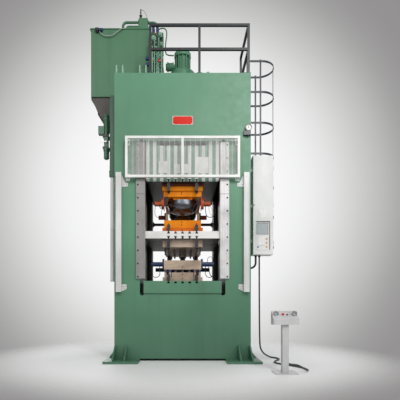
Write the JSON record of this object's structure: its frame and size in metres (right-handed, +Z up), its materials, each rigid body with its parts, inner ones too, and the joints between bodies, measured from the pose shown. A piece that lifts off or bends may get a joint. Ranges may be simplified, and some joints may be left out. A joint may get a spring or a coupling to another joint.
{
  "type": "hydraulic press",
  "caption": "Tall window-frame hydraulic press with a guided slide, floating platen, tooling, crown tank, caged ladder, cabinet and console.",
  "frame": {"origin": "on the floor, at the centre of the rectangle of the four outer anchor holes", "axes": "+Z up, +X to the operator's right, +Y away from the operator"},
  "size_m": [4.4867, 4.272, 8.373],
  "materials": {
    "frame_green": "semi-gloss paint",
    "dark_steel": "satin black",
    "ladder_paint": "satin dark grey",
    "ground_steel": "ground",
    "white_paint": "satin",
    "pale_grey": "satin",
    "cabinet_paint": "textured",
    "die_orange": "worn satin",
    "rust_orange": "worn",
    "tool_steel": "stained",
    "blue_paint": "gloss",
    "black_steel": "oiled",
    "dark_dish": "machined",
    "rubber": "matt",
    "black_plastic": "matt",
    "orange_button": "gloss",
    "blue_button": "gloss",
    "red_button": "gloss",
    "screen": "gloss",
    "chrome_rod": "polished",
    "lock_metal": "satin"
  },
  "bodies": {
    "frame": {"front_plate": "frame_green", "back_plate": "frame_green", "left_column": "frame_green", "right_column": "frame_green", "crown_box": "frame_green", "bed_box": "frame_green", "foot_plates": "frame_green", "guide_rails": "ground_steel", "rail_screws": "black_steel", "bolster": "frame_green", "main_cylinder": "frame_green", "lower_tool": "tool_steel", "tool_ejectors": "blue_paint", "bolster_clamps": "black_steel", "mesh_guard": "white_paint", "light_curtains": "pale_grey", "side_duct": "pale_grey", "guard_rail": "dark_steel", "ladder": "ladder_paint", "ladder_cage": "ladder_paint", "lifting_lugs": "frame_green", "valve_manifold": "frame_green", "valve_solenoids": "blue_paint", "pressure_gauge": "black_plastic", "oil_tank": "frame_green", "tank_lid": "frame_green", "column_brackets": "dark_steel", "oil_pipes": "frame_green", "pump_motor": "frame_green", "oil_filter": "frame_green", "cabinet_body": "cabinet_paint", "pedestal_post": "pale_grey", "pedestal_head": "pale_grey", "cable_glands": "black_plastic", "console_cable": "rubber"},
    "slide": {"slide": "frame_green", "slide_slats": "white_paint", "piston_rod": "chrome_rod", "upper_die": "die_orange", "dish_punch": "dark_dish", "side_cylinders": "rust_orange", "slide_clamps": "black_steel"},
    "floating_platen": {"floating_platen": "white_paint", "lower_die": "die_orange", "platen_clamps": "black_steel", "lower_tool_head": "tool_steel"},
    "cabinet_door": {"cabinet_door": "cabinet_paint", "panel_screen": "screen"},
    "door_lock": {"door_lock": "lock_metal"},
    "cycle_button": {"cycle_button": "orange_button"},
    "raise_button": {"raise_button": "orange_button"},
    "lower_button": {"lower_button": "orange_button"},
    "reset_button": {"reset_button": "blue_button"},
    "hand_button_left": {"hand_button_left": "black_plastic"},
    "hand_button_right": {"hand_button_right": "black_plastic"},
    "stop_button": {"stop_button": "red_button"},
    "mode_button": {"mode_button": "black_plastic"},
    "valve_handle": {"valve_handle": "blue_button"},
    "gauge_needle": {"gauge_needle": "red_button"},
    "filler_cap": {"filler_cap": "black_plastic"}
  },
  "joints": [
    {"name": "slide_stroke", "type": "slide", "parent": "frame", "child": "slide", "axis": [0, 0, 1], "range_m": [-0.46, 0]},
    {"name": "platen_travel", "type": "slide", "parent": "frame", "child": "floating_platen", "axis": [0, 0, 1], "range_m": [-0.12, 0]},
    {"name": "door_hinge", "type": "hinge", "parent": "frame", "child": "cabinet_door", "pos_m": [1.998, -0.7645, 3.3835], "axis": [0, 0, 1], "range_deg": [0, 115]},
    {"name": "lock_turn", "type": "hinge", "parent": "cabinet_door", "child": "door_lock", "pos_m": [1.568, -0.776, 3.3835], "axis": [0, 1, 0], "range_deg": [0, 90]},
    {"name": "cycle_button_press", "type": "slide", "parent": "cabinet_door", "child": "cycle_button", "axis": [0, 1, 0], "range_m": [0, 0.005], "stiffness_N_per_m": 600},
    {"name": "raise_button_press", "type": "slide", "parent": "cabinet_door", "child": "raise_button", "axis": [0, 1, 0], "range_m": [0, 0.005], "stiffness_N_per_m": 600},
    {"name": "lower_button_press", "type": "slide", "parent": "cabinet_door", "child": "lower_button", "axis": [0, 1, 0], "range_m": [0, 0.005], "stiffness_N_per_m": 600},
    {"name": "reset_button_press", "type": "slide", "parent": "cabinet_door", "child": "reset_button", "axis": [0, 1, 0], "range_m": [0, 0.005], "stiffness_N_per_m": 600},
    {"name": "hand_button_left_press", "type": "slide", "parent": "frame", "child": "hand_button_left", "axis": [0, 0.5477, -0.8367], "range_m": [0, 0.005], "stiffness_N_per_m": 1500},
    {"name": "hand_button_right_press", "type": "slide", "parent": "frame", "child": "hand_button_right", "axis": [0, 0.5477, -0.8367], "range_m": [0, 0.005], "stiffness_N_per_m": 1500},
    {"name": "stop_button_press", "type": "slide", "parent": "frame", "child": "stop_button", "axis": [0, 0.5477, -0.8367], "range_m": [0, 0.005], "stiffness_N_per_m": 1500},
    {"name": "mode_button_press", "type": "slide", "parent": "frame", "child": "mode_button", "axis": [0, 0.5477, -0.8367], "range_m": [0, 0.005], "stiffness_N_per_m": 1500},
    {"name": "valve_turn", "type": "hinge", "parent": "frame", "child": "valve_handle", "pos_m": [-1.712, -0.62, 4.84], "axis": [0, 1, 0], "range_deg": [0, 90]},
    {"name": "needle_turn", "type": "hinge", "parent": "frame", "child": "gauge_needle", "pos_m": [1.395, -1.096, 4.946], "axis": [0, 1, 0], "range_deg": [0, 130]},
    {"name": "cap_turn", "type": "hinge", "parent": "frame", "child": "filler_cap", "pos_m": [-1.745, 0.06, 7.75], "axis": [0, 0, 1], "range_deg": [0, 90]}
  ],
  "couplings": [
    {"joint": "platen_travel", "follows": "slide_stroke", "ratio": 0.26087}
  ]
}
